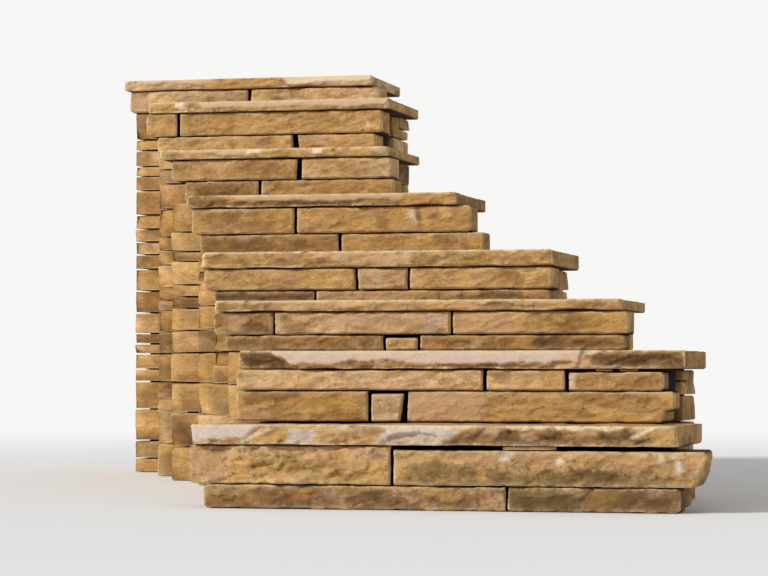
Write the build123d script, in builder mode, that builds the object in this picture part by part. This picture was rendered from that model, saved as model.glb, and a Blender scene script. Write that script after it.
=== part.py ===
from build123d import *
import math
import os
from typing import NamedTuple

os.makedirs("parts", exist_ok=True)

# Garden stairs of dry-laid sandstone, eight steps that sweep to the left as they climb.
# X runs along the risers to the right, Y runs up the climb and Z is up, in millimetres.
# The mason sets out from the foot of the bottom riser: Y = 0 is its face, Z = 0 the ground.


class Stone(NamedTuple):
    """One block of a course. Its ends may lean, which is given as how far the lower corner
    lies inside the upper one. Its rebate, a width and a height, is struck off its lower right
    corner. It may be lower than its course by its drop, and shims may then pack what lies on
    it, each with the distance of its left end from the block's, and its length."""

    name: str
    length: float
    left_lean: float = 0
    right_lean: float = 0
    drop: float = 0
    rebate: tuple = (0, 0)
    shims: tuple = ()


class Course(NamedTuple):
    """Blocks side by side, from the left end at start, with an open joint between them."""

    start: float
    joint: float
    height: float
    stones: tuple


class Flake(NamedTuple):
    """A flat scar on a tread's front edge, from start, measured from the tread's left end. It
    reaches over so much of the edge's height and leans back by depth at the arris. Its ends
    slant inwards towards the far side. An under one leans back to the lower arris."""

    start: float
    length: float
    reach: float
    depth: float
    left_slant: float = 12
    right_slant: float = 12
    under: bool = False


class Slab(NamedTuple):
    """A tread: left end, length, thickness, bevels along its front arrises, how wavy its front
    is, and the scars that were struck off it."""

    start: float
    length: float
    thickness: float
    top_bevel: float
    under_bevel: float
    wave: float
    flakes: tuple


class Step(NamedTuple):
    courses: tuple
    tread: Slab


# Driving sizes that all steps share.
RUN = 370                  # from one riser's face to the next
BLOCK_DEPTH = 240          # face to tail of a riser block
NOSING = 22                # how far a tread stands in front of its riser
BEARING = 120              # how much of a tread lies under the next riser
BACK_JOINT = 5             # open joint behind a tread
TOP_DEPTH = 470            # depth of the top tread, behind its riser's face
CORE_INSET = 32            # core's side, inside the end of its tread
TOE_SETBACK = 18           # core's face under a riser that runs past the tread below it
TOE_JOINT = 7              # open joint between that face and the tread's end
LOWER_SETBACK = 7          # a lower course stands this far behind the upper one
ARRIS = 4                  # worn edge round the face of a block
FACE_MARGIN = 11           # how far back that edge is worn
BLOCK_CORNER = 3.5         # cut corners of a face, at a joint
END_CORNER = 15            # rounded corners of a face, at the end of a course
TAIL_TAPER = 26            # how much a block narrows at its tail
SLAB_CORNER = 16           # rounded corners of a tread, seen from above
FLAKE_ROOM = 40            # how far in front of an edge the cut for a scar begins
SHIM_DEPTH = 60            # how deep a shim reaches in
SHIM_SETBACK = 12          # shim's face behind the block's face
SHIM_SKEW = 3              # how much further back its right end lies
COURSE = 100               # about how high a course of the cores' walling is
BOND_LENGTH = 340          # about how far apart its upright joints are
BOND = (0.38, 0.66, 0.46, 0.3, 0.58)  # where they begin, course by course, as shares of that
JOINT_WIDTH = 18           # how wide the walling's joints open at its face
JOINT_DEPTH = 22           # how far in their two sides meet

# The steps, from the ground up.
STEPS = (
    Step(
        (
            Course(-690, 5, 71, (Stone("left", 893), Stone("right", 493))),
            Course(-740, 8, 114, (
                Stone("left", 610, left_lean=4),
                Stone("right", 905, right_lean=44, drop=11, shims=((315, 158),)),
            )),
        ),
        Slab(-725, 1429, 60, 4, 5, 6, (
            Flake(-30, 250, 50, 15, 0, 62),
            Flake(560, 225, 40, 12, 40, 34),
            Flake(1060, 110, 30, 9, 30, 26),
            Flake(1200, 150, 44, 10, 40, 20),
            Flake(170, 330, 17, 9, 60, 40, under=True),
            Flake(760, 300, 26, 12, 60, 90, under=True),
            Flake(1110, 170, 20, 12, 70, 50, under=True),
        )),
    ),
    Step(
        (
            Course(-699, 9, 94, (
                Stone("left", 410),
                Stone("middle", 103, left_lean=1, right_lean=12, drop=8),
                Stone("right", 806, rebate=(33, 37)),
            )),
            Course(-699, 9, 64, (
                Stone("left", 763),
                Stone("middle", 238),
                Stone("right", 286, drop=6, shims=((82, 50), (152, 56))),
            )),
        ),
        Slab(-693, 1364, 57, 4, 5, 6, (
            Flake(82, 985, 45, 17, 70, 10),
            Flake(-40, 250, 60, 24, 40, 105, under=True),
            Flake(330, 420, 20, 10, 150, 110, under=True),
            Flake(700, 330, 18, 9, 90, 60, under=True),
            Flake(1050, 130, 30, 12, 34, 20),
            Flake(1120, 220, 34, 17, 90, 30, under=True),
        )),
    ),
    Step(
        (
            Course(-850, 6, 51, (
                Stone("left", 520),
                Stone("middle", 106, left_lean=3, drop=9),
                Stone("right", 647),
            )),
            Course(-885, 5, 73, (
                Stone("left", 197),
                Stone("middle", 572, right_lean=2),
                Stone("right", 555),
            )),
        ),
        Slab(-875, 1304, 36, 3, 4, 5, (
            Flake(120, 640, 20, 8, 30, 60),
            Flake(800, 360, 17, 7, 60, 40),
            Flake(-40, 190, 22, 9, 20, 60, under=True),
            Flake(560, 300, 13, 6, 90, 80, under=True),
        )),
    ),
    Step(
        (
            Course(-1000, 6, 42, (Stone("left", 348), Stone("right", 780))),
            Course(-1030, 7, 73, (
                Stone("left", 520),
                Stone("middle", 168, left_lean=2),
                Stone("right", 476, right_lean=4),
            )),
        ),
        Slab(-1035, 1186, 55, 6, 5, 6, (
            Flake(380, 260, 24, 8, 80, 60),
            Flake(683, 62, 42, 6, 10, 16),
            Flake(130, 300, 15, 7, 90, 100, under=True),
            Flake(640, 240, 13, 6, 80, 80, under=True),
        )),
    ),
    Step(
        (
            Course(-1165, 10, 77, (Stone("left", 498), Stone("right", 500))),
            Course(-1190, 10, 91, (Stone("left", 368), Stone("right", 613, right_lean=3))),
        ),
        Slab(-1205, 959, 44, 3, 4, 6, (
            Flake(130, 650, 30, 13, 90, 26),
            Flake(60, 230, 30, 13, 60, 110, under=True),
            Flake(330, 260, 19, 9, 80, 90, under=True),
            Flake(560, 240, 15, 8, 80, 60, under=True),
        )),
    ),
    Step(
        (
            Course(-1335, 11, 77, (Stone("left", 277), Stone("right", 491))),
            Course(-1385, 15, 77, (Stone("left", 475, right_lean=5), Stone("right", 330))),
        ),
        Slab(-1420, 849, 35, 3, 4, 5, (
            Flake(60, 400, 24, 9, 30, 70),
            Flake(520, 60, 12, 6, 16, 14),
            Flake(640, 130, 15, 6, 30, 30),
            Flake(140, 230, 13, 6, 70, 70, under=True),
            Flake(470, 260, 12, 6, 70, 60, under=True),
        )),
    ),
    Step(
        (
            Course(-1560, 18, 82, (
                Stone("left", 526, right_lean=-6),
                Stone("right", 303, left_lean=12),
            )),
            Course(-1600, 12, 87, (Stone("left", 119), Stone("right", 782))),
        ),
        Slab(-1590, 931, 40, 3, 4, 5, (
            Flake(170, 790, 31, 12, 60, 0),
            Flake(-20, 210, 24, 9, 20, 60, under=True),
            Flake(420, 330, 11, 6, 90, 110, under=True),
        )),
    ),
    Step(
        (
            Course(-1790, 12, 84, (Stone("left", 478), Stone("right", 513))),
        ),
        Slab(-1805, 991, 41, 3, 4, 7, (
            Flake(40, 320, 31, 12, 24, 50),
            Flake(620, 400, 33, 13, 50, 0),
            Flake(180, 300, 15, 8, 90, 80, under=True),
            Flake(500, 190, 15, 7, 50, 60, under=True),
        )),
    ),
)

COURSE_NAMES = ("lower", "upper")


def course_height(step):
    return sum(course.height for course in step.courses)


def slab_end(slab):
    return slab.start + slab.length


def write(part, label):
    part.label = label
    export_step(part, f"parts/{label}.step")


# Levels: the top of each tread, and the bed on which each tread lies.
tops = [0]
for step in STEPS:
    tops.append(tops[-1] + course_height(step) + step.tread.thickness)
beds = [top - step.tread.thickness for top, step in zip(tops[1:], STEPS)]

# The footprint: its middle goes to the origin of the finished part.
starts = [course.start for step in STEPS for course in step.courses]
starts += [step.tread.start for step in STEPS]
ends = [slab_end(step.tread) for step in STEPS]
for step in STEPS:
    for course in step.courses:
        gaps = course.joint * (len(course.stones) - 1)
        ends.append(course.start + sum(stone.length for stone in course.stones) + gaps)
back = RUN * (len(STEPS) - 1) + TOP_DEPTH
SHIFT_X = -(min(starts) + max(ends)) / 2
SHIFT_Y = -(back - NOSING) / 2


def block(left, bottom, face, rear, height, stone, rounded):
    """A riser block: worn edge round its face, narrower at its tail. Its corners are rounded
    on the sides named in rounded, where a course ends, and only cut elsewhere."""
    right = left + stone.length
    low_left = left + stone.left_lean
    low_right = right - stone.right_lean
    cut, rise = stone.rebate
    corners = [(left, bottom + height), (low_left, bottom)]
    if cut:
        corners += [(low_right - cut, bottom), (low_right - cut, bottom + rise)]
        corners += [(low_right, bottom + rise)]
    else:
        corners += [(low_right, bottom)]
    corners += [(right, bottom + height)]
    wide_left = min(left, low_left)
    wide_right = max(right, low_right)
    across = (left + right) / 2
    middle = (face + rear) / 2
    with BuildPart() as piece:
        with BuildSketch(Plane.XZ.offset(-face)) as outline:
            with BuildLine():
                Polyline(*corners, close=True)
            make_face()
            ends = {
                "left": outline.vertices().filter_by(lambda corner: corner.X < across),
                "right": outline.vertices().filter_by(lambda corner: corner.X > across),
            }
            for side, side_corners in ends.items():
                if side in rounded:
                    fillet(side_corners, radius=min(END_CORNER, height / 3))
                else:
                    chamfer(side_corners, length=BLOCK_CORNER)
        extrude(amount=face - rear)
        with BuildSketch(Plane.XY.offset(bottom)):
            with BuildLine():
                Polyline(
                    (wide_left, face),
                    (wide_left, middle),
                    (wide_left + TAIL_TAPER, rear),
                    (wide_right - TAIL_TAPER, rear),
                    (wide_right, middle),
                    (wide_right, face),
                    close=True,
                )
            make_face()
        extrude(amount=height, mode=Mode.INTERSECT)
        front = piece.faces().sort_by(Axis.Y)[0]
        chamfer(front.edges(), length=ARRIS, length2=FACE_MARGIN, reference=front)
    return piece


def scar_of(flake, left, front, bottom, top):
    """The plane in which a flake's scar lies, and the scar's outline on that plane."""
    start = left + flake.start
    end = start + flake.length
    far = math.hypot(flake.reach, flake.depth)
    if flake.under:
        level, lean, far = bottom + flake.reach, -flake.depth, -far
    else:
        level, lean = top - flake.reach, flake.depth
    plane = Plane(origin=(0, front, level), x_dir=(1, 0, 0), z_dir=(0, -flake.reach, lean))
    outline = (
        (start + flake.left_slant, 0),
        (end - flake.right_slant, 0),
        (end, far * 1.2),
        (start, far * 1.2),
    )
    return plane, outline


def tread(slab, bed, face, rear, turn):
    """A tread slab: its front, split in flat stretches that weave in and out, is worn along its
    arrises and has the scars struck off it. The weave starts at another crest on each step,
    which turn counts."""
    left = slab.start
    right = slab_end(slab)
    front = face - NOSING
    crests = (0.7, 0.0, 0.9, 0.25, 1.0, 0.1, 0.6)
    edge = [
        (
            left + slab.length * place / (len(crests) - 1),
            front + slab.wave * crests[(place + turn) % len(crests)],
        )
        for place in range(len(crests))
    ]
    with BuildPart() as piece:
        with BuildSketch(Plane.XY.offset(bed)) as outline:
            with BuildLine():
                Polyline(*edge, (right, rear), (left, rear), close=True)
            make_face()
            fronts = outline.vertices().filter_by(lambda corner: corner.Y < face)
            corners = fronts.sort_by(Axis.X)
            fillet([corners[0], corners[-1]], radius=SLAB_CORNER)
        extrude(amount=slab.thickness)
        rims = piece.faces().filter_by(Axis.Z).sort_by(Axis.Z)
        for rim, bevel in ((rims[0], slab.under_bevel), (rims[-1], slab.top_bevel)):
            straight = rim.edges().filter_by(GeomType.LINE)
            chamfer(straight.filter_by(lambda line: line.center().Y < face), length=bevel)
        for flake in slab.flakes:
            plane, scar = scar_of(flake, left, front, bed, bed + slab.thickness)
            with BuildSketch(plane):
                with BuildLine():
                    Polyline(*scar, close=True)
                make_face()
            extrude(amount=FLAKE_ROOM, mode=Mode.SUBTRACT)
    return piece


def bed_joints(levels):
    """Where the walling's bed joints lie: at each of the given levels above the ground, and
    between them so that the courses are about COURSE high."""
    joints = []
    for low, high in zip(levels, levels[1:]):
        count = max(1, round((high - low) / COURSE))
        joints += [low + (high - low) * part / count for part in range(1, count + 1)]
    return joints


def upright_joints(start, end, course):
    """Where the upright joints of one course of walling lie, between the ends of the wall."""
    count = max(1, round((end - start) / BOND_LENGTH))
    share = BOND[course % len(BOND)]
    return [start + (end - start) * (part + share) / count for part in range(count)]


def open_joints(places, rotation=0, mode=Mode.SUBTRACT):
    """Notches the outline of a wall, within a sketch, at the places where its joints open."""
    with Locations(*places):
        Polygon(
            (-JOINT_DEPTH, 0),
            (0, -JOINT_WIDTH / 2),
            (JOINT_DEPTH, 0),
            (0, JOINT_WIDTH / 2),
            rotation=rotation,
            mode=mode,
        )


def core(left, right, face, rear, levels, below, last):
    """The rubble behind a riser and under its tread, from the ground up, within walling whose
    beds run at the levels of the treads. It takes the tails of the blocks, and where the riser
    runs past the tread below, it comes forward as a toe."""
    shelf, bed = levels[-2:]
    beds = bed_joints(levels)
    bearing = face + BEARING
    tail = face + BLOCK_DEPTH
    toe = face + TOE_SETBACK
    corner = (Align.MIN, Align.MIN)
    with BuildPart() as piece:
        with BuildSketch(Plane.YZ.offset(left)):
            with Locations((tail, 0)):
                Rectangle(rear - tail, bed, align=corner)
            if shelf:
                with Locations((bearing, 0)):
                    Rectangle(rear - bearing, shelf, align=corner)
            open_joints([(rear, joint) for joint in beds])
        extrude(amount=right - left)
        if left < below:
            with BuildSketch(Plane.YZ.offset(left)):
                with Locations((toe, 0)):
                    Rectangle(bearing - toe, shelf, align=corner)
                open_joints([(toe, joint) for joint in bed_joints(levels[:-1])])
            extrude(amount=below - left)
        with BuildSketch(Plane.XZ.offset(-rear)):
            with Locations((left, 0)):
                Rectangle(right - left, bed, align=corner)
            open_joints([(edge, joint) for edge in (left, right) for joint in beds])
        extrude(amount=rear - toe, mode=Mode.INTERSECT)

        # The courses break joint with each other, on the sides and at the back of the flight.
        for course, (low, high) in enumerate(zip([0] + beds, beds)):
            over_shelf = high > shelf + 1
            right_start = tail if over_shelf else bearing
            left_start = toe if left < below and not over_shelf else right_start
            with BuildSketch(Plane.XY.offset(low)):
                places = [(left, place) for place in upright_joints(left_start, rear, course)]
                places += [(right, place) for place in upright_joints(right_start, rear, course + 2)]
                open_joints(places, mode=Mode.ADD)
                if last:
                    places = [(place, rear) for place in upright_joints(left, right, course + 1)]
                    open_joints(places, rotation=90, mode=Mode.ADD)
            extrude(amount=high - low, mode=Mode.SUBTRACT)
    return piece


def shim(left, length, bottom, top, face):
    """A thin flake of stone that packs a tread above a low block, thinner at its ends."""
    front = face + SHIM_SETBACK
    with BuildPart() as piece:
        with BuildSketch(Plane.XY.offset(bottom)):
            with BuildLine():
                Polyline(
                    (left, front + SHIM_SKEW),
                    (left + length * 0.1, front),
                    (left + length * 0.9, front + SHIM_SKEW),
                    (left + length, front + SHIM_SKEW * 3),
                    (left + length * 0.8, front + SHIM_DEPTH),
                    (left + length * 0.15, front + SHIM_DEPTH),
                    close=True,
                )
            make_face()
        extrude(amount=top - bottom)
    return piece


for index, step in enumerate(STEPS):
    number = index + 1
    face = SHIFT_Y + RUN * index
    last = number == len(STEPS)
    level = tops[index]
    shims = []

    # The riser, course by course and from left to right.
    for course, course_name in zip(step.courses, COURSE_NAMES):
        setback = LOWER_SETBACK if course_name == "lower" and len(step.courses) > 1 else 0
        left = SHIFT_X + course.start
        for stone in course.stones:
            height = course.height - stone.drop
            rounded = {
                "left" if stone is course.stones[0] else "",
                "right" if stone is course.stones[-1] else "",
            }
            rear = face + BLOCK_DEPTH
            piece = block(left, level, face + setback, rear, height, stone, rounded)
            write(piece.part, f"step_{number}_{course_name}_{stone.name}")
            for offset, length in stone.shims:
                over = level + course.height
                shims.append(shim(left + offset, length, level + height, over, face + setback))
            left += stone.length + course.joint
        level += course.height

    # Shims pack the tread where a block of the upper course is low.
    if shims:
        with BuildPart() as packing:
            for piece in shims:
                add(piece.part)
        write(packing.part, f"step_{number}_shim")

    # The tread lies on the upper course and runs back under the next riser.
    rear = face + (TOP_DEPTH if last else RUN + BEARING)
    slab = step.tread._replace(start=SHIFT_X + step.tread.start)
    piece = tread(slab, level, face, rear if last else rear - BACK_JOINT, number)
    write(piece.part, f"step_{number}_tread")

    # The core fills the space behind the blocks and under the tread.
    core_left = slab.start + CORE_INSET
    core_right = slab_end(slab) - CORE_INSET
    if index:
        below = SHIFT_X + STEPS[index - 1].tread.start - TOE_JOINT
    else:
        below = core_left
    piece = core(core_left, core_right, face, rear, tops[:number] + [level], below, last)
    write(piece.part, f"step_{number}_core")
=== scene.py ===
# %% [markdown]
# Sandstone garden stairs, dressed around their imported CAD model.
# The real stairs are laid dry: split blocks on their beds, one long slab on each riser, and
# rubble behind. The frame already gives every stone its place and size, so none is typed here.
# This script adds what a mason sees up close: the split relief of each face, worn arrises,
# open joints, stains and lichen, and the coursed walling that closes the sides. Some light and
# shade is painted into the colour too: highlights on arrises, ridges and a few chips, and shade
# in hollows, joints and on some scars.

# %% Load the frame
import math
import random
from typing import NamedTuple

import bmesh
import bpy
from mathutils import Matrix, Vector, noise
from mathutils.bvhtree import BVHTree


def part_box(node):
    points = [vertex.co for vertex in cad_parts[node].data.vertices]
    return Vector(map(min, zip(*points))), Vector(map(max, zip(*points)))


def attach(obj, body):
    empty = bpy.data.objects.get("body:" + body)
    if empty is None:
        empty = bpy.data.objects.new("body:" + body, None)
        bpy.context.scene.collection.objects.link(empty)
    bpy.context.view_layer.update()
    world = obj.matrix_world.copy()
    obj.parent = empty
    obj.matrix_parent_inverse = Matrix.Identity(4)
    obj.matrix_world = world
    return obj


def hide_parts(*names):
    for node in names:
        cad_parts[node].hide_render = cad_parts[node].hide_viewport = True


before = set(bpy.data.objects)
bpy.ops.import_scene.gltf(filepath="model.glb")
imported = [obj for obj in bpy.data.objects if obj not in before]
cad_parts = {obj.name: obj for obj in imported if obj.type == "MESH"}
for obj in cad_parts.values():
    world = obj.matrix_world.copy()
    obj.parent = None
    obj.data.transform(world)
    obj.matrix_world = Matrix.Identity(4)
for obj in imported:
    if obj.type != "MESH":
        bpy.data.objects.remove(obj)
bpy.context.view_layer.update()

stones = sorted(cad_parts)
print("nodes:", len(stones))

# %% [markdown]
# The view comes first, because it decides how fine the relief has to be. The stairs are seen
# from low down and from some eight metres away, a little from the right, through a long lens,
# so that all the risers stack up and no tread shows its top.

# %% Camera
def add_object(name, data):
    """Puts a new object into the scene, at the origin."""
    made = bpy.data.objects.new(name, data)
    bpy.context.scene.collection.objects.link(made)
    return made


EYE = Vector((2.233, -9.298, 0.412))
TURN_LEFT = math.radians(13.5)
TILT_UP = math.radians(1.6)
LENS_MM = 131.25
SENSOR_MM = 36.0

camera_data = bpy.data.cameras.new("camera")
camera_data.lens = LENS_MM
camera_data.sensor_width = SENSOR_MM
camera = add_object("camera", camera_data)
camera.location = EYE
camera.rotation_euler = (math.radians(90) + TILT_UP, 0.0, TURN_LEFT)
bpy.context.scene.camera = camera
print("eye height:", round(EYE.z, 3), "m, lens:", LENS_MM, "mm")

# %% [markdown]
# A stone's skin starts as a box cut into a grid, dense at the face that shows and coarse
# towards the tail. It could also be a remeshed copy of the solid, but a remesh rounds the
# arrises and spends most of its faces where nothing shows.

# %% Box grids
FACE_STEP = 0.0042


def clamp(value, low, high):
    return max(low, min(high, value))


def smooth_step(low, high, value):
    share = clamp((value - low) / (high - low), 0.0, 1.0)
    return share * share * (3.0 - 2.0 * share)


def along(edge, axis):
    """True where an edge runs along the axis, 0 for X, 1 for Y, 2 for Z."""
    run = edge.verts[1].co - edge.verts[0].co
    return abs(run[axis]) > 0.9 * run.length


def mesh_of(bm, name):
    """A bmesh's mesh. The bmesh itself is freed."""
    mesh = bpy.data.meshes.new(name)
    bm.to_mesh(mesh)
    bm.free()
    return mesh


def clamp_inside(place, low, high):
    """A place, drawn back into the box between two corners."""
    return Vector([clamp(*values) for values in zip(place, low, high)])


def cut_box(counts):
    """A unit box as a bmesh, cut into counts[0] by counts[1] by counts[2] cells. Each vertex
    keeps its place in the unit box in the layer "share", whatever moves it later."""
    bm = bmesh.new()
    bmesh.ops.create_cube(bm, size=1.0)
    bmesh.ops.translate(bm, verts=bm.verts, vec=(0.5, 0.5, 0.5))
    for axis in range(3):
        if counts[axis] > 1:
            edges = [edge for edge in bm.edges if along(edge, axis)]
            bmesh.ops.subdivide_edges(bm, edges=edges, cuts=counts[axis] - 1, use_grid_fill=True)
    share = bm.verts.layers.float_vector.new("share")
    for vert in bm.verts:
        vert[share] = vert.co
    return bm


print("grid on a face:", FACE_STEP * 1000, "mm")

# %% [markdown]
# Next the grid is pulled over the solid. Rays from both sides stretch each row to the
# solid's own two ends. Then every corner is drawn straight towards the stone's heart, an inner
# box, until it meets the solid. The rays fan out and never cross, so the skin cannot fold.
# The aim of each ray wanders a little, which turns the solid's straight scars into the
# ragged ones that a chisel leaves.

# %% Skin over a solid
WORN = 0.012
OUTSIDE = 0.004
RAGGED_RUN = (0.03, 0.08)
RAY_LEAD = 0.03
RAY_LENGTH = 0.12


def solid_tree(node):
    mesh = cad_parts[node].data
    points = [vert.co.copy() for vert in mesh.vertices]
    return BVHTree.FromPolygons(points, [tuple(poly.vertices) for poly in mesh.polygons])


def stretch_rows(bm, tree, low, high, power, heart_depth):
    """Packs the rows towards the face, and gives the two ends of each row, vertex by vertex.
    The ends are measured behind the face and between the beds, clear of the worn arrises."""
    share = bm.verts.layers.float_vector["share"]
    ends, known = [], {}
    for vert in bm.verts:
        y = low.y + (high.y - low.y) * vert[share].y ** power
        z = low.z + (high.z - low.z) * vert[share].z
        key = (round(y, 5), round(z, 5))
        if key not in known:
            row_y = clamp(y, low.y + heart_depth, high.y - WORN)
            row_z = clamp(z, low.z + WORN, high.z - WORN)
            left = tree.ray_cast(Vector((low.x - OUTSIDE, row_y, row_z)), Vector((1, 0, 0)))[0]
            right = tree.ray_cast(Vector((high.x + OUTSIDE, row_y, row_z)), Vector((-1, 0, 0)))[0]
            known[key] = (left.x if left else low.x, right.x if right else high.x)
        left, right = known[key]
        vert.co = Vector((left + (right - left) * vert[share].x, y, z))
        ends.append((left, right))
    return ends


def hug(bm, tree, ends, low, high, heart_depth, ragged):
    """Pulls the grid onto the solid, and gives the solid's own normal at each vertex. The aim
    wanders by the distance ragged at the face, and less and less towards the tail."""
    rise = min(heart_depth, 0.4 * (high.z - low.z))
    normals = []
    for vert, (left, right) in zip(bm.verts, ends):
        depth = vert.co.y - low.y
        fade = ragged * (1.0 - smooth_step(*RAGGED_RUN, depth))
        level = min(vert.co.z - low.z, high.z - vert.co.z)
        lift = 0.5 * fade * smooth_step(0.0, WORN, level)
        at = vert.co * 11.0
        aim = Vector((noise.noise(at) * fade, 0.0, noise.noise(at * 1.3 + Vector((9, 9, 9))) * lift))
        corner = vert.co + aim
        heart = Vector((
            clamp(vert.co.x, left + heart_depth, right - heart_depth),
            clamp(vert.co.y, low.y + heart_depth, high.y - heart_depth),
            clamp(vert.co.z, low.z + rise, high.z - rise),
        )) + aim
        way = (heart - corner).normalized()
        place, normal, _, _ = tree.ray_cast(corner - way * RAY_LEAD, way, RAY_LENGTH)
        if place:
            place = place - aim
            vert.co = Vector((clamp(place.x, left, right), place.y, clamp(place.z, low.z, high.z)))
        normals.append(normal if place else Vector((0, -1, 0)))
    return normals


# %% [markdown]
# Sandstone breaks in scars. Each scar is nearly flat and tilts its own way, and where two
# meet, the one that lies deeper wins, which leaves a soft ridge between them. Under the
# scars lies a slow belly, over them come crumbs and thin ledges where beds end. Every field
# is a depth: it moves the skin inwards, never out of the solid. A displacement picture would
# be quicker, but it repeats, and noise doesn't.

# %% Relief of a split face
BELLY_DEPTH = 0.003
STRUCK_SCAR = (0.10, 0.045)
STRUCK_DEPTH = 0.0060
CHIP_SCAR = (0.042, 0.017)
CHIP_DEPTH = 0.0068
CRUMB_DEPTH = 0.0016
PLY = 0.0018
DEEPEST_PLY = 0.009
JOINT_RUN = 0.085
JOINT_OPENING = 0.0020
SPALL = 0.012
SPALL_RUN = (0.005, 0.05)


def scars(at, long, high):
    """Tilted flat scars, longer than they are high: the depth between about 0 and 1, and a
    tint between 0 and 1 that each scar has for itself."""
    spot = Vector((at.x / long, at.y / long, at.z / high))
    _, centres = noise.voronoi(spot)
    deepest, tint = -1.0, 0.5
    for centre in centres:
        tilt = noise.cell_vector(centre * 7.31)
        away = spot - centre
        level = 0.25 + 0.5 * noise.cell(centre * 3.17)
        depth = level + 0.7 * (tilt.x - 0.5) * away.x + 1.5 * (tilt.z - 0.5) * away.z
        depth -= 0.25 * away.length
        if depth > deepest:
            deepest, tint = depth, tilt.y
    return clamp(deepest, 0.0, 1.0), tint


def split_depth(at, rough):
    """How far a split face lies behind its most proud point, in metres, and its scars' tint."""
    belly = 0.5 + 0.5 * noise.noise(at * 5.0)
    struck, broad_tint = scars(at, *STRUCK_SCAR)
    leaning = Vector((at.x + 0.7 * at.z, at.y, at.z - 0.25 * at.x))
    chips, chip_tint = scars(leaning + Vector((3, 3, 3)), *CHIP_SCAR)
    crumbs = noise.turbulence(Vector((at.x * 30, at.y * 30, at.z * 48)), 3, False)
    split = STRUCK_DEPTH * struck + CHIP_DEPTH * chips + CRUMB_DEPTH * crumbs
    return BELLY_DEPTH * belly + rough * split, 0.55 * broad_tint + 0.45 * chip_tint


def cleft_depth(at):
    """A bed that was split along its grain: broad, nearly flat plies with ragged rims."""
    level = 2.2 + 2.2 * noise.fractal(at * 4, 1.0, 2.0, 3)
    ply = math.floor(level)
    return PLY * (ply + smooth_step(0.4, 0.6, level - ply)) % DEEPEST_PLY


def joint_depth(at, depth):
    """How far a bed or a joint falls away: open at the face, tight further in."""
    near_face = 1.0 - smooth_step(0.0, JOINT_RUN, depth)
    return 0.0002 + near_face * (0.0001 + JOINT_OPENING * (0.5 + 0.5 * noise.noise(at * 13.0)))


def spalled_depth(at, depth):
    """How far the lower arris of a slab has spalled away."""
    return SPALL * max(0.0, noise.noise(at * 8.0)) * (1.0 - smooth_step(*SPALL_RUN, depth))


print("scars up to", round(1000 * (STRUCK_DEPTH + CHIP_DEPTH), 1), "mm deep at a roughness of 1")

# %% [markdown]
# No two stones of a bed have one colour: most are golden, some tan, some brown from water and
# soil. Tones drawn at random would look as lively, but only tones set one by one lie where they do.

# %% Tones
def linear(red, green, blue):
    """A colour as a screen shows it, 0 to 255, in the linear values that shaders take."""
    def channel(value):
        share = value / 255
        return share / 12.92 if share <= 0.04045 else ((share + 0.055) / 1.055) ** 2.4
    return (channel(red), channel(green), channel(blue))


# Each course from left to right, the lower one first. 0 is iron brown, 0.5 golden, 1 pale tan.
COURSE_TONES = {
    1: ((0.12, 0.02), (0.46, 0.47)),
    2: ((0.45, 1.0, 0.52), (0.92, 0.78, 0.36)),
    3: ((0.18, 0.68, 0.2), (0.28, 0.9, 0.52)),
    4: ((-0.12, 0.22), (0.5, 0.9, 0.72)),
    5: ((0.28, 0.44), (0.47, 0.52)),
    6: ((0.3, 0.5), (0.42, 0.86)),
    7: ((0.7, 0.6), (0.38, 0.55)),
    8: ((0.9, 0.84),),
}
PLACES = {2: ("left", "right"), 3: ("left", "middle", "right")}
TONES = {
    f"step_{step}_{course}_{place}": tone
    for step, courses in COURSE_TONES.items()
    for course, tones in zip(("lower", "upper"), courses)
    for place, tone in zip(PLACES[len(tones)], tones)
}
print("blocks with a tone:", len(TONES))

# %% [markdown]
# Stains, old tool scars and spots of mineral are brushed on as strokes. Noise makes their rims
# ragged, so that a stroke reads as a stain and not as a painted patch. A few strokes on the slabs
# paint light and shade instead: highlights and shadows on scars, highlights along a top arris,
# and pale chips painted bright as glints. The table says which.

# %% Strokes
SOFT_RIM = 0.018
HEIGHT_RIM = 0.08


class Stroke(NamedTuple):
    """A brushed stroke, mostly a stain, while some strokes on the slabs are painted highlights and
    painted shadows: where along the stone from its left end, in metres, and how high. Its lean is
    how much further right it lies at the top than at the bottom, and its rim is soft for a stain
    and hard for the facet of a scar."""
    colour: str
    start: float
    end: float
    low: float = 0.0
    high: float = 1.0
    strength: float = 0.8
    lean: float = 0.0
    rim: float = SOFT_RIM


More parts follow.
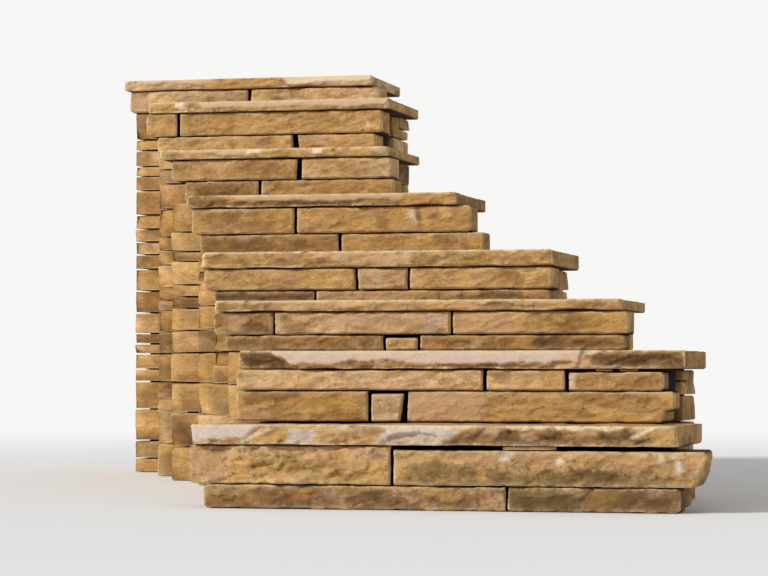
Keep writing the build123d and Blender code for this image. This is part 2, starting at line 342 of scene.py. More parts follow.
STROKE_COLOURS = {
    "brown": linear(122, 82, 40),
    "dark": linear(84, 58, 34),
    "olive": linear(112, 92, 50),
    "gold": linear(196, 148, 74),
    "tan": linear(208, 168, 128),
    "cream": linear(244, 226, 190),
    "grey": linear(204, 188, 174),
    "white": linear(236, 232, 222),
}
STROKE_ROWS = {
    "step_1_upper_left": (
        ("tan", 0, 0.14, 0, 1, 0.45), ("tan", 0.12, 0.52, 0.7, 1, 0.45),
        ("olive", 0.19, 0.27, 0.3, 0.6, 0.5), ("olive", 0.36, 0.42, 0.35, 0.6, 0.55),
        ("dark", 0.44, 0.5, 0.2, 0.4, 0.55), ("tan", 0.22, 0.42, 0, 0.3, 0.4)),
    "step_1_upper_right": (
        ("tan", 0, 0.9, 0.4, 1, 0.3), ("olive", 0.02, 0.24, 0, 0.6, 0.6),
        ("olive", 0.28, 0.78, 0, 0.4, 0.65), ("dark", 0.5, 0.64, 0.1, 0.4, 0.6),
        ("white", 0.315, 0.355, 0.62, 0.92, 0.5), ("white", 0.47, 0.5, 0.58, 0.92, 0.5),
        ("white", 0.75, 0.765, 0.65, 0.85, 0.45), ("white", 0.8, 0.83, 0.5, 0.8, 0.55)),
    "step_1_lower_right": (
        ("olive", 0, 0.22, 0.2, 1, 0.5), ("gold", 0.22, 0.31, 0.2, 0.9, 0.25),
        ("dark", 0.05, 0.2, 0, 0.5, 0.4), ("dark", 0.34, 0.46, 0.1, 0.8, 0.4)),
    "step_2_lower_left": (
        ("brown", 0.02, 0.22, 0.6, 1, 0.7), ("brown", 0.22, 0.4, 0, 0.35, 0.6),
        ("gold", 0.15, 0.36, 0.35, 0.8, 0.5)),
    "step_2_lower_right": (
        ("tan", 0, 0.25, 0, 1, 0.6), ("brown", 0.52, 0.74, 0.55, 1, 0.55), ("gold", 0.2, 0.72, 0, 0.16)),
    "step_2_upper_right": (("cream", 0, 0.03, 0.1, 1, 0.5),),
    "step_3_lower_left": (("brown", 0.05, 0.35, 0.4, 1, 0.55),),
    "step_3_lower_right": (
        ("dark", 0.34, 0.47, 0.1, 1, 0.65), ("gold", 0.3, 0.335, 0.2, 1, 0.7),
        ("dark", 0.48, 0.6, 0, 0.7, 0.45)),
    "step_3_upper_left": (
        ("tan", 0.04, 0.12, 0.2, 0.8, 0.5), ("dark", 0.1, 0.197, 0, 0.45, 0.7)),
    "step_3_upper_middle": (
        ("olive", 0.01, 0.05, 0.6, 0.95, 0.7), ("tan", 0.2, 0.5, 0.2, 0.9, 0.35),
        ("grey", 0.49, 0.55, 0.1, 0.9, 0.35)),
    "step_3_upper_right": (
        ("tan", 0, 0.22, 0, 1, 0.5), ("brown", 0.33, 0.38, 0, 0.55, 0.7),
        ("gold", 0.4, 0.54, 0.1, 0.9, 0.45)),
    "step_4_lower_left": (
        ("brown", 0, 0.34, 0, 1, 0.7), ("dark", 0, 0.34, 0, 1, 0.75), ("gold", 0.12, 0.26, 0.65, 1, 0.25)),
    "step_4_lower_right": (
        ("tan", 0.05, 0.32, 0.3, 1, 0.45), ("dark", 0.4, 0.76, 0, 0.5, 0.55)),
    "step_4_upper_right": (
        ("brown", 0.06, 0.12, 0.1, 0.6, 0.35), ("brown", 0.29, 0.36, 0.4, 0.8, 0.5)),
    "step_5_lower_left": (("dark", 0.02, 0.28, 0, 0.8, 0.45),),
    "step_5_upper_left": (
        ("brown", 0.06, 0.18, 0.2, 0.8, 0.5), ("brown", 0.18, 0.28, 0, 0.5, 0.45)),
    "step_5_upper_right": (
        ("brown", 0.28, 0.33, 0, 0.6, 0.5), ("cream", 0.395, 0.42, 0.5, 0.95, 0.5),
        ("dark", 0.42, 0.445, 0.3, 0.9, 0.55)),
    "step_6_lower_left": (("dark", 0.03, 0.2, 0.1, 0.6, 0.4),),
    "step_6_upper_left": (("tan", 0.16, 0.24, 0.4, 0.8, 0.6),),
    "step_7_upper_right": (
        ("cream", 0.37, 0.45, 0.4, 0.7, 0.2), ("cream", 0.63, 0.65, 0.6, 0.8, 0.35),
        ("cream", 0.715, 0.73, 0.3, 0.6, 0.4)),
    "step_1_tread": (
        ("tan", 0.2, 1.43, 0, 1, 0.3), ("gold", 0.23, 0.33, 0, 0.8, 0.5, 0.1, 0.006),
        # The cream arc and the brown line after it paint a highlight and a shadow on a facet's rim.
        ("cream", 0.19, 0.215, 0.2, 0.9, 0.5, 0.11, 0.005),
        ("brown", 0.218, 0.245, 0.3, 1, 0.6, 0.11, 0.005), ("grey", 0.29, 0.38, 0, 0.75, 0.85, 0.03, 0.008),
        ("brown", 0.4, 0.47, 0, 0.3, 0.5), ("cream", 0.42, 0.5, 0.7, 1, 0.35),
        ("brown", 0.5, 0.6, 0.05, 0.35, 0.5), ("grey", 0.57, 0.79, 0.15, 0.8, 0.75, 0.06, 0.006),
        # Cream strokes high on the slab paint a highlight along its top arris.
        # From 0.79 m on, the strokes with hard rims paint the light and shade of the scars.
        ("cream", 0.62, 0.86, 0.84, 1, 0.5), ("brown", 0.79, 0.86, 0, 1, 0.75, 0.1, 0.006),
        ("brown", 0.85, 1.33, 0, 0.82, 0.7), ("dark", 0.8, 0.87, 0.1, 0.7, 0.6, 0.08, 0.008),
        ("dark", 0.91, 0.99, 0.2, 0.8, 0.75, 0.05, 0.008), ("tan", 0.86, 0.91, 0.45, 0.9, 0.6, 0.04, 0.008),
        ("tan", 0.98, 1.02, 0.2, 0.7, 0.5, -0.05, 0.008),
        ("dark", 1.03, 1.1, 0.1, 0.65, 0.75, -0.05, 0.008), ("cream", 0.96, 1.28, 0.84),
        ("tan", 1.13, 1.19, 0.45, 0.85, 0.4, 0.04, 0.008),
        ("dark", 1.2, 1.3, 0.2, 0.72, 0.85, -0.05, 0.008),
        ("cream", 1.29, 1.315, 0.35, 0.95, 0.6, 0.12, 0.006),
        ("dark", 1.32, 1.37, 0, 0.45, 0.7, 0.06, 0.006), ("gold", 1.34, 1.42, 0.2, 0.8, 0.4)),
    "step_2_tread": (
        # The dark stroke at the left end paints the shade on a chipped corner that faces down.
        ("dark", 0, 0.135, 0, 1, 0.9, -0.08, 0.006), ("dark", 0.1, 0.46, 0, 0.22, 0.6),
        ("brown", 0.46, 0.98, 0, 0.16, 0.55), ("tan", 0.99, 1.1, 0, 0.8, 0.6, 0.05, 0.01),
        ("brown", 1.08, 1.37, 0.1, 1, 0.8, -0.06, 0.008),
        ("dark", 1.1, 1.35, 0.15, 0.78, 0.85, -0.08, 0.012), ("cream", 1.06, 1.1, 0.75, 1, 0.5),
        ("tan", 1.26, 1.34, 0.15, 0.4, 0.35), ("grey", 1.08, 1.2, 0, 0.22, 0.4, 0.05, 0.008)),
    "step_3_tread": (
        ("brown", 0.02, 0.14, 0, 0.7, 0.65), ("tan", 0.2, 0.5, 0.3, 0.9, 0.5),
        ("olive", 0.88, 1.02, 0.2, 0.9, 0.45), ("brown", 1.17, 1.29, 0.2, 0.8, 0.4)),
    "step_4_tread": (
        ("brown", 0.02, 0.16, 0.3, 0.7, 0.5), ("tan", 0.46, 0.7, 0.2, 0.9, 0.6),
        ("cream", 0.695, 0.73, 0, 0.95, 0.3), ("brown", 1, 1.12, 0.3, 0.6, 0.45)),
    "step_5_tread": (
        ("dark", 0, 0.15, 0, 1, 0.6, -0.05, 0.01), ("brown", 0.13, 0.54, 0, 0.46, 0.9),
        ("dark", 0.16, 0.52, 0, 0.25, 0.7), ("gold", 0.77, 0.95, 0, 1, 0.55),
        ("brown", 0.56, 0.94, 0, 0.25, 0.6), ("gold", 0.02, 0.3, 0.4, 0.9, 0.25)),
    "step_6_tread": (
        # The cream strokes with hard rims are pale chips, painted bright as glints.
        ("cream", 0.33, 0.38, 0.45, 1, 1, 0, 0.008), ("brown", 0.42, 0.5, 0.1, 0.6, 0.4),
        ("cream", 0.575, 0.61, 0.45, 1, 1, 0, 0.008), ("cream", 0.66, 0.68, 0.6, 1, 0.5, 0, 0.01),
        ("cream", 0.8, 0.84, 0.4, 1, 0.45)),
    "step_7_tread": (
        # The narrow cream stroke is a pale chip, painted bright as a glint.
        ("gold", 0, 0.11, 0, 1, 0.6), ("cream", 0.11, 0.14, 0.4, 1, 1, 0, 0.008)),
    "step_8_tread": (
        ("tan", 0.02, 0.36, 0.2, 1, 0.75), ("gold", 0.35, 0.62, 0, 1, 0.75, 0.05, 0.01),
        ("brown", 0.38, 0.5, 0.1, 0.5, 0.4), ("cream", 0.66, 1.02, 0.3, 1, 0.5)),
}
STROKES = {name: tuple(Stroke(*row) for row in rows) for name, rows in STROKE_ROWS.items()}


def stroke_weight(stroke, along_stone, share_up, at):
    """1 inside a stroke and 0 outside, with a ragged soft rim."""
    ragged = stroke.rim / SOFT_RIM
    along_stone += ragged * (0.024 * noise.noise(at * 15.0) + 0.010 * noise.noise(at * 43.0))
    along_stone -= stroke.lean * (share_up - 0.5)
    share_up += 0.20 * noise.noise(at * 21.0 + Vector((5, 5, 5))) + 0.12 * noise.noise(at * 52.0)
    rim = min(stroke.rim, 0.3 * (stroke.end - stroke.start))
    across = smooth_step(stroke.start - rim, stroke.start + rim, along_stone)
    across *= 1.0 - smooth_step(stroke.end - rim, stroke.end + rim, along_stone)
    up = 1.0
    if stroke.low > 0:
        up = smooth_step(stroke.low - HEIGHT_RIM, stroke.low + HEIGHT_RIM, share_up)
    if stroke.high < 1:
        up *= 1.0 - smooth_step(stroke.high - HEIGHT_RIM, stroke.high + HEIGHT_RIM, share_up)
    return stroke.strength * across * up


def brush(brushed_colour, colour, weight):
    """Lays a colour over what is brushed on so far, which is a colour and how much it covers."""
    under, cover = brushed_colour
    total = weight + cover * (1 - weight)
    part = weight / total if total > 0 else 0.0
    return tuple(old + (new - old) * part for old, new in zip(under, colour)), total


print("strokes:", sum(len(row) for row in STROKES.values()), "on", len(STROKES), "stones")

# %% [markdown]
# On the slabs the natural bed shows in long flat facets, pale lilac or cream. Their place is
# read from the solid's own normals, so that no facet is painted where none was struck.

# %% Seams
class Seam(NamedTuple):
    """The flat natural bed that shows along a slab's front: its colour, how much of it shows,
    and how far along the slab it goes, in metres."""
    colour: tuple
    strength: float
    end: float


SEAMS = {
    1: Seam(linear(208, 189, 178), 1.0, 1.00),
    2: Seam(linear(208, 184, 166), 1.0, 1.04),
    3: Seam(linear(194, 161, 124), 0.6, 1.30),
    4: Seam(linear(188, 152, 106), 0.3, 1.19),
    5: Seam(linear(192, 160, 122), 0.9, 0.79),
    6: Seam(linear(203, 172, 132), 0.8, 0.45),
    7: Seam(linear(205, 174, 142), 0.95, 1.0),
    8: Seam(linear(214, 184, 150), 0.95, 1.0),
}


def seam_shares(bm, normals, low, seam):
    """How much of the seam's colour each vertex gets: all where the solid's front leans back as
    a flat scar, none elsewhere, with a rim two cells wide."""
    shares = []
    for vert, flat in zip(bm.verts, normals):
        end = seam.end + 0.3 * (vert.co.z - low.z) + 0.03 * noise.noise(vert.co * 40.0)
        on_front = vert.co.y - low.y < 0.05 and flat.y < -0.5 and vert.co.x - low.x < end
        leans = smooth_step(0.08, 0.16, flat.z) * (1.0 - smooth_step(0.6, 0.8, flat.z))
        shares.append(seam.strength * leans if on_front else 0.0)
    for _ in range(2):
        shares = [
            0.4 * shares[vert.index]
            + 0.6 * sum(shares[edge.other_vert(vert).index] for edge in vert.link_edges)
            / len(vert.link_edges)
            for vert in bm.verts
        ]
    return shares


print("slabs with a seam:", len(SEAMS))

# %% [markdown]
# With the fields and the tones ready, a stone can be dressed. Each vertex keeps what the
# materials need to know: how worn its arris is, which also paints a highlight there, how hollow
# its spot is, which paints shade into hollows and a highlight onto ridges, how pale it is, how
# much soil and painted shade lie in the joint there, the stone's tone, what is brushed on it,
# and a place in the grain that is the stone's own, so that no pattern runs on from one stone
# into the next.

# %% Layers
class Look(NamedTuple):
    """How one stone is dressed: its tone, how rough it is, how much lichen grows on it, its
    strokes and seam, and whether a stone is close by on its left and on its right."""
    tone: float
    rough: float = 1.0
    lichen: float = 0.0
    strokes: tuple = ()
    seam: Seam = None
    closed: tuple = (False, False)


LAYERS = ("wear_and_highlight", "painted_relief_light", "tint", "pale", "soil_and_shade", "tone", "lichen")
UNBRUSHED = (0.3, 0.2, 0.1)
BRUSHED_DEPTH = 0.06
FAINT = 0.001
BLOCK_SOIL_SHADE_START = 0.012
SLAB_SOIL_SHADE_START = 0.030
SOIL_SHADE_RIM = 0.008


def grain_layers(bm):
    layers = {name: bm.verts.layers.float.new(name) for name in LAYERS}
    layers["brushed_colour"] = bm.verts.layers.float_color.new("brushed_colour")
    layers["grain"] = bm.verts.layers.float_vector.new("grain")
    return layers


def soil_and_shade_at(normal, depth, joined, slab):
    """How much soil and painted shade a vertex carries: some inside the beds and joints, none on the face.
    """
    shut = abs(normal.x) if joined else 0.0
    if not (slab and normal.z > 0):
        shut = max(shut, abs(normal.z))
    start = SLAB_SOIL_SHADE_START if slab else BLOCK_SOIL_SHADE_START
    return smooth_step(0.55, 0.85, shut) * smooth_step(start, start + SOIL_SHADE_RIM, depth)


def brushed_colour_at(at, look, pale, depth, from_left, up):
    """The seam's colour and the strokes over it, as red, green, blue and how much they cover."""
    brushed_colour = (UNBRUSHED, 0.0)
    if pale > FAINT:
        brushed_colour = brush(brushed_colour, look.seam.colour, min(pale, 0.97))
    if depth < BRUSHED_DEPTH:
        for stroke in look.strokes:
            weight = stroke_weight(stroke, from_left, up, at)
            if weight > FAINT:
                brushed_colour = brush(brushed_colour, STROKE_COLOURS[stroke.colour], weight)
    return (*brushed_colour[0], brushed_colour[1])


print("layers:", len(LAYERS) + 2)

# %% [markdown]
# The relief pushes the face and the sides behind it back together, so that no rim is left
# standing round the face. Arrises, joints and beds then move in along their own normals.

# %% Dress a stone
ARRIS_WIDTH = 0.006
RELIEF_RUN = 0.07
PAINTED_LIGHT_RELIEF = 0.0163


def inward_move(at, normal, depth, relief, worn_and_highlit, joined, slab):
    """How far a vertex moves in along its normal, by wear, joints, cleft beds and spalls."""
    bite = max(0.0, noise.noise(at * 19.0) - 0.1) * (0.003 if slab else 0.006) + 0.0004
    bed = abs(normal.z)
    inwards = worn_and_highlit * bite + abs(normal.x) * (0.04 if joined else 0.12) * relief
    if slab and normal.z > 0.7:
        inwards += cleft_depth(at) * smooth_step(0.01, 0.05, depth) + 0.0003
    else:
        inwards += bed * joint_depth(at, depth)
    if slab and normal.z < 0:
        inwards += bed * spalled_depth(at, depth)
    return inwards


def dress(bm, normals, low, high, look, chance, slab):
    """Moves the skin in by the relief and fills in the layers."""
    size = high - low
    share = bm.verts.layers.float_vector["share"]
    layers = grain_layers(bm)
    offset = Vector([chance.uniform(0, 90) for _ in range(3)])
    bm.normal_update()
    bm.verts.index_update()
    seams = seam_shares(bm, normals, low, look.seam) if look.seam else [0.0] * len(bm.verts)
    moves = []
    for vert, pale in zip(bm.verts, seams):
        at = vert.co + offset
        normal = vert.normal.copy()
        depth = vert.co.y - low.y
        spot = vert[share]
        up = (vert.co.z - low.z) / size.z
        relief, tint = split_depth(at, look.rough)
        relief *= 1.0 - 0.85 * min(1.0, pale)
        rim = min(spot.x * size.x, (1 - spot.x) * size.x, spot.z * size.z, (1 - spot.z) * size.z)
        # How worn the arris is. The same share paints a highlight on it.
        worn_and_highlit = math.exp(-max(rim, 0.0) / ARRIS_WIDTH) * (1.0 - smooth_step(0.004, 0.03, depth))
        joined = look.closed[0] if normal.x < 0 else look.closed[1]
        back = relief * (1.0 - smooth_step(0.0, RELIEF_RUN, depth))
        inwards = inward_move(at, normal, depth, relief, worn_and_highlit, joined, slab)
        moves.append(Vector((0.0, back, 0.0)) - normal * inwards)
        bare = smooth_step(0.25, 0.8, up + 0.5 * noise.noise(at * 14.0))
        vert[layers["wear_and_highlight"]] = worn_and_highlit
        # Deep spots of the relief get painted shade and proud ones a painted highlight.
        vert[layers["painted_relief_light"]] = clamp(relief / (PAINTED_LIGHT_RELIEF * max(look.rough, 0.7)), 0.0, 1.0)
        vert[layers["tint"]] = 0.5 + (tint - 0.5) * clamp(look.rough / 1.3, 0.0, 1.0)
        vert[layers["pale"]] = 0.6 + 0.4 * noise.noise(at * 5.0) if slab and normal.z > 0.6 else 0.0
        vert[layers["soil_and_shade"]] = soil_and_shade_at(normal, depth, joined, slab)
        vert[layers["tone"]] = look.tone
        vert[layers["lichen"]] = look.lichen * (1.0 - 0.8 * bare)
        vert[layers["grain"]] = at
        vert[layers["brushed_colour"]] = brushed_colour_at(at, look, pale, depth, vert.co.x - low.x, up)
    for vert, move in zip(bm.verts, moves):
        vert.co = clamp_inside(vert.co + move, low, high)


print("arrises worn over", ARRIS_WIDTH * 1000, "mm")

# %% [markdown]
# Where stone lies on stone the fine grid would never show, so it is dissolved there. Each piece
# then stands in for its node, rides on the one body and names the slot of its finish.

# %% Finish a piece
BLOCK_HEART = (0.026, 0.004)
SLAB_HEART = (0.045, 0.016)
BLOCK_SHOWN = 0.05
SLAB_SHOWN = 0.10


def close_hidden(bm, low, slab):
    """Dissolves the grid where stone lies on stone: a block's tail and beds, a slab's bed."""
    share = bm.verts.layers.float_vector["share"]
    from_face = SLAB_SHOWN if slab else BLOCK_SHOWN
    sides = {"tail": [], "under": [], "over": []}
    for face in bm.faces:
        spots = [vert[share] for vert in face.verts]
        deep = all(vert.co.y - low.y > from_face for vert in face.verts)
        inner = all(0.03 < spot.x < 0.97 for spot in spots)
        if all(spot.y > 0.999 for spot in spots):
            sides["tail"].append(face)
        elif deep and inner and all(spot.z < 0.001 for spot in spots):
            sides["under"].append(face)
        elif deep and inner and not slab and all(spot.z > 0.999 for spot in spots):
            sides["over"].append(face)
    for faces in sides.values():
        if faces:
            bmesh.ops.dissolve_faces(bm, faces=faces)


def stone_skin(node, rows, power, look, seed, slab=False, box=None):
    """A dressed stone over a node's solid, or over the one of its solids that fills the box. The
    rows from face to tail grow by the power."""
    low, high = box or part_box(node)
    size = high - low
    bm = cut_box((max(6, round(size.x / FACE_STEP)), rows, max(4, round(size.z / FACE_STEP))))
    tree = solid_tree(node)
    heart_depth, ragged = SLAB_HEART if slab else BLOCK_HEART
    ends = stretch_rows(bm, tree, low, high, power, heart_depth)
    normals = hug(bm, tree, ends, low, high, heart_depth, ragged)
    dress(bm, normals, low, high, look, random.Random(seed), slab)
    close_hidden(bm, low, slab)
    return bm


def join(whole, part):
    """Moves one bmesh into another."""
    mesh = mesh_of(part, "part")
    whole.from_mesh(mesh)
    bpy.data.meshes.remove(mesh)


def finish_piece(bm, name, nodes, material):
    """Makes a piece of a bmesh, in place of its nodes, and gives its number of triangles."""
    bmesh.ops.recalc_face_normals(bm, faces=bm.faces)
    for face in bm.faces:
        face.smooth = True
    share = bm.verts.layers.float_vector.get("share")
    if share:
        bm.verts.layers.float_vector.remove(share)
    mesh = mesh_of(bm, name)
    mesh.materials.append(material)
    piece = add_object(name, mesh)
    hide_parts(*nodes)
    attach(piece, "root")
    return sum(len(poly.vertices) - 2 for poly in mesh.polygons)


print("hearts begin", BLOCK_HEART[0], "m inside a block and", SLAB_HEART[0], "m inside a slab")

# %% [markdown]
# One sandstone serves every piece. Fine sand gives it speckle, and iron gives it ochre and rose
# clouds. These patterns are noise in the stone's own grain, so they run through an arris as real
# stone does. Painted shade darkens the hollows of a scar and a painted highlight lightens its
# ridges. Stains and seams come from the layers, and so do a few strokes of painted light and
# shade on the slabs, soil with painted shade in the joints, and worn arrises with a painted
# highlight. A picture of stone would show its seams on every turned block.

# %% Shading
class Shading:
    """The nodes of a material or a world, wired with short calls."""

    def __init__(self, owner):
        owner.use_nodes = True
        self.nodes = owner.node_tree.nodes
        self.links = owner.node_tree.links

    def put(self, value, socket):
        """Gives a socket a number, a vector, a colour, or the output of another node."""
        if isinstance(value, (int, float)):
            socket.default_value = value
        elif isinstance(value, tuple):
            socket.default_value = (*value, 1.0) if socket.type == "RGBA" else value
        else:
            self.links.new(value, socket)

    def node(self, kind, values=()):
        node = self.nodes.new(kind)
        for name, value in dict(values).items():
            self.put(value, node.inputs[name])
        return node

    def layer(self, name, output="Fac"):
        node = self.node("ShaderNodeAttribute")
        node.attribute_name = name
        return node.outputs[output]

    def noise(self, vector, scale, detail=3.0, roughness=0.6, stretch=(1, 1, 1)):
        mapping = self.node("ShaderNodeMapping", {"Scale": stretch, "Vector": vector})
        return self.node("ShaderNodeTexNoise", {
            "Scale": scale, "Detail": detail, "Roughness": roughness, "Vector": mapping.outputs["Vector"],
        }).outputs["Fac"]

    def between(self, value, low, high, bottom=0.0, top=1.0):
        node = self.node("ShaderNodeMapRange", {
            "Value": value, "From Min": low, "From Max": high, "To Min": bottom, "To Max": top,
        })
        node.interpolation_type = "SMOOTHSTEP"
        return node.outputs["Result"]

    def maths(self, operation, first, second):
        node = self.node("ShaderNodeMath", {0: first, 1: second})
        node.operation = operation
        return node.outputs[0]

    def mix(self, share, below, above, mode="MIX"):
        node = self.node("ShaderNodeMix")
        node.data_type = "RGBA"
        node.blend_type = mode
        for index, value in ((0, share), (6, below), (7, above)):
            self.put(value, node.inputs[index])
        return node.outputs[2]

    def ramp(self, value, stops):
        node = self.node("ShaderNodeValToRGB", {"Fac": value})
        elements = node.color_ramp.elements
        while len(elements) < len(stops):
            elements.new(0.5)
        for element, (place, colour) in zip(elements, stops):
            element.position = place
            element.color = (*colour, 1.0)
        return node.outputs["Color"]

    def greys(self, value, *stops):
        """A ramp of greys to multiply a colour by. 1 leaves the colour as it is."""
        return self.ramp(value, [(place, (level, level, level)) for place, level in stops])

    def bump(self, height, strength, distance, below=None):
        values = {"Strength": strength, "Distance": distance, "Height": height}
        if below:
            values["Normal"] = below
        return self.node("ShaderNodeBump", values).outputs["Normal"]

    def blend(self, share, near, far, end):
        """Mixes two shaders into the surface of the node at the end."""
        mixed = self.node("ShaderNodeMixShader", {0: share, 1: near, 2: far})
        self.links.new(mixed.outputs[0], self.nodes[end].inputs["Surface"])


# %% [markdown]
# All three finishes are the same stone. Blocks, slabs and rubble keep materials of their own,
# so that each slot can be given another finish later without touching the other two.

# %% Sandstone
def sandstone(name):
    material = bpy.data.materials.new(name)
    shade = Shading(material)
    grain = shade.layer("grain", "Vector")
    drift = shade.noise(grain, 6.0, 4.0, 0.6, (0.7, 0.7, 1.3))
    drift = shade.maths("MULTIPLY", shade.maths("SUBTRACT", drift, 0.5), 0.65)
    colour = shade.ramp(shade.maths("ADD", shade.layer("tone"), drift), (
        (0.0, linear(112, 82, 48)),
        (0.3, linear(160, 119, 68)),
        (0.5, linear(187, 146, 88)),
        (0.7, linear(201, 160, 103)),
        (1.0, linear(208, 173, 130)),
    ))
    patches = shade.noise(grain, 17.0, 5.0, 0.62, (0.6, 0.6, 1.3))
    shades = shade.greys(patches, (0.3, 0.55), (0.44, 0.92), (0.56, 1.07), (0.7, 1.32))
    colour = shade.mix(0.5, colour, shades, "MULTIPLY")
    mottles = shade.noise(grain, 52.0, 4.0, 0.65, (0.55, 0.55, 1.25))
    shades = shade.greys(mottles, (0.32, 0.6), (0.45, 0.93), (0.56, 1.06), (0.68, 1.28))
    colour = shade.mix(0.7, colour, shades, "MULTIPLY")
    ochre = shade.between(shade.noise(grain, 13.0, 4.0, 0.6, (0.8, 0.8, 1.6)), 0.52, 0.66, 0.0, 0.5)
    colour = shade.mix(ochre, colour, linear(184, 134, 66))
    rose = shade.between(shade.noise(grain, 11.0, 4.0, 0.6), 0.54, 0.68, 0.0, 0.5)
    colour = shade.mix(rose, colour, linear(198, 158, 130))
    olive = shade.between(shade.noise(grain, 19.0, 4.0, 0.65, (0.7, 0.7, 1.4)), 0.56, 0.7, 0.0, 0.28)
    colour = shade.mix(olive, colour, linear(136, 110, 62))
    facets = shade.greys(shade.layer("tint"), (0.15, 0.66), (0.5, 1.0), (0.85, 1.28))
    colour = shade.mix(1.0, colour, facets, "MULTIPLY")
    top = shade.ramp(shade.noise(grain, 9.0, 6.0, 0.65), (
        (0.35, linear(172, 138, 92)), (0.5, linear(190, 156, 108)), (0.65, linear(202, 172, 130)),
    ))
    colour = shade.mix(shade.maths("MULTIPLY", shade.layer("pale"), 0.85), colour, top)
    # A painted highlight lightens the proud ridges of the relief.
    painted_ridge_highlight = shade.between(shade.layer("painted_relief_light"), 0.32, 0.1, 0.0, 0.35)
    colour = shade.mix(painted_ridge_highlight, colour, linear(214, 178, 126))
    # Painted shade darkens the hollows of the relief.
    painted_relief_light = shade.between(shade.layer("painted_relief_light"), 0.42, 0.8, 0.0, 0.6)
    colour = shade.mix(painted_relief_light, colour, linear(126, 90, 48))
    speckles = shade.greys(shade.noise(grain, 210.0, 3.0, 0.8), (0.34, 0.66), (0.5, 1.0), (0.66, 1.32))
    colour = shade.mix(0.4, colour, speckles, "MULTIPLY")
    thin = shade.between(mottles, 0.66, 0.44, 0.72, 1.0)
    # The strokes: stains, and on a few slabs painted highlights and painted shadows.
    cover = shade.maths("MULTIPLY", shade.layer("brushed_colour", "Alpha"), thin)
    colour = shade.mix(cover, colour, shade.layer("brushed_colour", "Color"))
    spots = shade.between(shade.noise(grain, 70.0, 4.0, 0.75), 0.44, 0.66, 0.0, 0.75)
    colour = shade.mix(shade.maths("MULTIPLY", shade.layer("lichen"), spots), colour, linear(92, 78, 50))
    colour = shade.mix(0.3, colour, speckles, "MULTIPLY")
    crisp = shade.between(shade.noise(grain, 26.0, 4.0, 0.65), 0.38, 0.56, 0.3, 1.0)
    # Worn arrises turn cream, which also paints a highlight along them.
    colour = shade.mix(shade.maths("MULTIPLY", shade.layer("wear_and_highlight"), crisp), colour, linear(228, 200, 156))
    # Soil and painted shade darken the beds and joints nearly to black.
    colour = shade.mix(shade.maths("MULTIPLY", shade.layer("soil_and_shade"), 0.95), colour, linear(34, 24, 16))
    fine = shade.bump(shade.noise(grain, 320.0, 4.0, 0.7), 0.35, 0.0014)
    pitted = shade.bump(shade.noise(grain, 95.0, 4.0, 0.65, (0.8, 0.8, 1.4)), 0.5, 0.004, fine)
    chipped = shade.bump(shade.noise(grain, 34.0, 4.0, 0.6, (0.7, 0.7, 1.5)), 0.6, 0.009, pitted)
    sockets = shade.nodes["Principled BSDF"].inputs
    shade.put(colour, sockets["Base Color"])
    shade.put(shade.between(patches, 0.3, 0.7, 0.96, 0.82), sockets["Roughness"])
    shade.put(0.22, sockets["Specular IOR Level"])
    shade.put(chipped, sockets["Normal"])
    return material


block_stone = sandstone("split sandstone")
slab_stone = sandstone("slab sandstone")
rubble_stone = sandstone("rubble sandstone")
print("materials:", [stone.name for stone in (block_stone, slab_stone, rubble_stone)])

# %% [markdown]
# Each riser is laid in two courses of long split blocks, with the upright joints of one course
# kept off those of the other. A mason leaves the face as it breaks and trims only the beds. The
# blocks differ in roughness: those of the first step are rugged and grow lichen near the ground.

# %% Riser blocks
BLOCK_ROWS = 13
BLOCK_POWER = 2.1
EVEN_BLOCK = 0.75
NEXT_STONE = 0.05
ROUGHNESS = {"step_1_upper_left": 2.3, "step_1_upper_right": 1.25, "step_1_lower_left": 1.4,
             "step_1_lower_right": 1.2, "step_2_upper_right": 1.0, "step_3_lower_right": 1.1,
             "step_4_lower_left": 1.1, "step_4_lower_right": 1.1, "step_3_upper_left": 1.1}
LICHEN = {"step_1_lower_left": 0.8, "step_1_lower_right": 0.95,
          "step_1_upper_left": 0.35, "step_1_upper_right": 0.95}


def neighbours(node, names):
    """Whether the next stone of the same course is close on the left and on the right."""
    low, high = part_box(node)
    course = [name for name in names if name.rsplit("_", 1)[0] == node.rsplit("_", 1)[0]]
    left = any(0 < low.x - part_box(name)[1].x < NEXT_STONE for name in course)
    right = any(0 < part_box(name)[0].x - high.x < NEXT_STONE for name in course)
    return left, right


blocks = [name for name in stones if "_lower_" in name or "_upper_" in name]
total = 0
for seed, node in enumerate(blocks):
    look = Look(
        tone=TONES[node],
        rough=ROUGHNESS.get(node, EVEN_BLOCK),
        lichen=LICHEN.get(node, 0.0),
        strokes=STROKES.get(node, ()),
        closed=neighbours(node, blocks),
    )
    bm = stone_skin(node, BLOCK_ROWS, BLOCK_POWER, look, seed)
    total += finish_piece(bm, node + "_split", [node], block_stone)
print("blocks:", len(blocks), "triangles:", total)

# %% [markdown]
# A tread is one slab, from end to end of its step, and its front arris is scarred by large
# flakes. Where a flake came off along the bed, a flat pale seam shows, and elsewhere the front is
# brown and broken. The top is the bed itself, split along the grain in thin plies, so the grid is
# kept dense over the whole slab and not only at its front.

# %% Treads
TREAD_ROWS = 46
TREAD_POWER = 1.45
EVEN_TREAD = 1.05
TREAD_ROUGHNESS = {1: 1.9, 2: 1.5, 4: 1.2, 5: 1.3}
TREAD_TONES = {1: 0.46, 2: 0.34, 3: 0.58, 4: 0.46, 5: 0.30, 6: 0.56, 7: 0.6, 8: 1.0}

